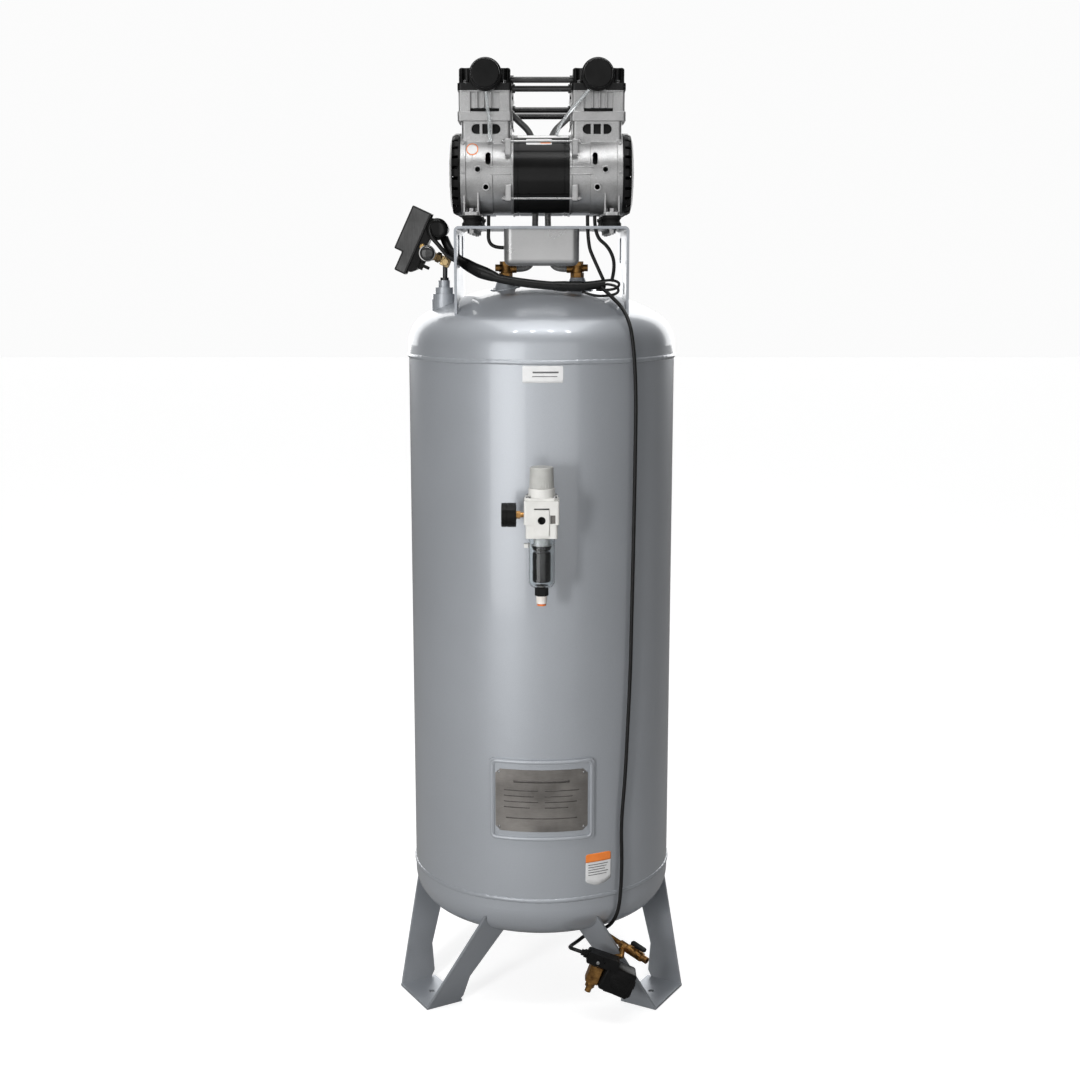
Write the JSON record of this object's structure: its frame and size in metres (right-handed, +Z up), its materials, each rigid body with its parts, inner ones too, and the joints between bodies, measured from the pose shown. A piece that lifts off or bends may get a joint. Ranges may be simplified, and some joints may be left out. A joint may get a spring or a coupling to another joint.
{
  "type": "air compressor",
  "caption": "Upright stationary air compressor: oil-free electric piston pumps on a platform over a vertical receiver with strap legs, pressure switch, filter regulator and drain valve.",
  "frame": {"origin": "on the receiver's vertical axis at floor level, centre of the circle of foot bolt holes", "axes": "+X to the right seen from the front, front faces -Y, +Z up along the receiver's axis"},
  "size_m": [0.564, 0.64, 1.789],
  "materials": {
    "tank_paint": "satin",
    "leg_paint": "satin",
    "plate_metal": "satin",
    "platform_paint": "satin",
    "cast_aluminium": "rough",
    "black_cast": "satin",
    "black_plastic": "satin",
    "stator_black": "gloss",
    "steel": "satin",
    "piston_metal": "satin",
    "brass": "satin",
    "rubber_black": "matt",
    "cable_black": "satin",
    "hose_grey": "satin",
    "hose_clear": "gloss",
    "bowl_clear": "gloss",
    "white_plastic": "satin",
    "knob_grey": "satin",
    "cover_grey": "satin",
    "collet_orange": "satin",
    "box_metal": "satin",
    "capacitor_white": "satin",
    "needle_red": "satin"
  },
  "bodies": {
    "receiver": {"tank_shell": "tank_paint", "top_head": "tank_paint", "bottom_head": "tank_paint", "leg_left": "leg_paint", "leg_right": "leg_paint", "leg_rear": "leg_paint", "nameplate_pad": "tank_paint", "nameplate": "plate_metal", "tank_bungs": "tank_paint", "platform": "platform_paint", "capacitor_box": "box_metal", "capacitors": "capacitor_white", "isolators": "rubber_black", "isolator_bolts": "steel", "front_crankcases": "cast_aluminium", "rear_crankcases": "cast_aluminium", "cylinders": "cast_aluminium", "valve_plates": "steel", "cylinder_heads": "black_cast", "air_filters": "black_plastic", "fan_covers": "black_plastic", "bearings": "steel", "tie_rods": "steel", "cross_tubes": "stator_black", "front_stator": "stator_black", "rear_stator": "stator_black", "switch_base": "black_plastic", "switch_cover": "cover_grey", "switch_fittings": "brass", "regulator_body": "white_plastic", "regulator_bonnet": "white_plastic", "gauge_case": "black_plastic", "filter_bowl": "bowl_clear", "filter_element": "black_plastic", "bowl_drain": "white_plastic", "check_valves": "brass", "drain_pipe": "brass", "ball_valve": "brass", "solenoid_valve": "brass", "solenoid_coil": "black_plastic", "coil_plug": "black_plastic", "drain_cable": "cable_black", "wiring_loom": "cable_black", "motor_leads": "cable_black", "capacitor_lead": "cable_black", "breather_hoses": "hose_clear", "delivery_hoses": "hose_grey"},
    "front_rotor": {"front_rotor": "steel"},
    "rear_rotor": {"rear_rotor": "steel"},
    "front_left_piston": {"front_left_piston": "piston_metal"},
    "front_right_piston": {"front_right_piston": "piston_metal"},
    "rear_left_piston": {"rear_left_piston": "piston_metal"},
    "rear_right_piston": {"rear_right_piston": "piston_metal"},
    "switch_lever": {"switch_lever": "black_plastic"},
    "safety_valve_ring": {"safety_valve_ring": "steel"},
    "regulator_spindle": {"regulator_spindle": "brass"},
    "regulator_knob": {"regulator_knob": "knob_grey"},
    "gauge_needle": {"gauge_needle": "needle_red"},
    "drain_collet": {"drain_collet": "collet_orange"},
    "ball_valve_handle": {"ball_valve_handle": "black_plastic"}
  },
  "joints": [
    {"name": "front_rotor_spin", "type": "hinge", "parent": "receiver", "child": "front_rotor", "pos_m": [0, -0.08, 1.5884], "axis": [1, 0, 0], "continuous": true},
    {"name": "rear_rotor_spin", "type": "hinge", "parent": "receiver", "child": "rear_rotor", "pos_m": [0, 0.08, 1.5884], "axis": [1, 0, 0], "continuous": true},
    {"name": "front_left_stroke", "type": "slide", "parent": "receiver", "child": "front_left_piston", "axis": [0, 0, 1], "range_m": [-0.012, 0]},
    {"name": "front_right_stroke", "type": "slide", "parent": "receiver", "child": "front_right_piston", "axis": [0, 0, 1], "range_m": [-0.012, 0]},
    {"name": "rear_left_stroke", "type": "slide", "parent": "receiver", "child": "rear_left_piston", "axis": [0, 0, 1], "range_m": [-0.012, 0]},
    {"name": "rear_right_stroke", "type": "slide", "parent": "receiver", "child": "rear_right_piston", "axis": [0, 0, 1], "range_m": [-0.012, 0]},
    {"name": "switch_lever_turn", "type": "hinge", "parent": "receiver", "child": "switch_lever", "pos_m": [-0.22262, -0.065, 1.4251], "axis": [0, 1, 0], "range_deg": [0, 40]},
    {"name": "safety_valve_pull", "type": "slide", "parent": "receiver", "child": "safety_valve_ring", "axis": [0, 1, 0], "range_m": [0, 0.003], "stiffness_N_per_m": 400},
    {"name": "knob_lift", "type": "slide", "parent": "receiver", "child": "regulator_spindle", "axis": [0, 0, 1], "range_m": [0, 0.004]},
    {"name": "knob_turn", "type": "hinge", "parent": "regulator_spindle", "child": "regulator_knob", "pos_m": [0, -0.322, 1.06], "axis": [0, 0, 1], "continuous": true},
    {"name": "gauge_needle_turn", "type": "hinge", "parent": "receiver", "child": "gauge_needle", "pos_m": [-0.067, -0.322, 0.996], "axis": [1, 0, 0], "range_deg": [0, 270]},
    {"name": "drain_collet_press", "type": "slide", "parent": "receiver", "child": "drain_collet", "axis": [0, 0, 1], "range_m": [0, 0.001], "stiffness_N_per_m": 500},
    {"name": "ball_valve_turn", "type": "hinge", "parent": "receiver", "child": "ball_valve_handle", "pos_m": [0.1816, -0.24022, 0.15136], "axis": [0.1678, -0.1522, 0.974], "range_deg": [0, 90]}
  ]
}
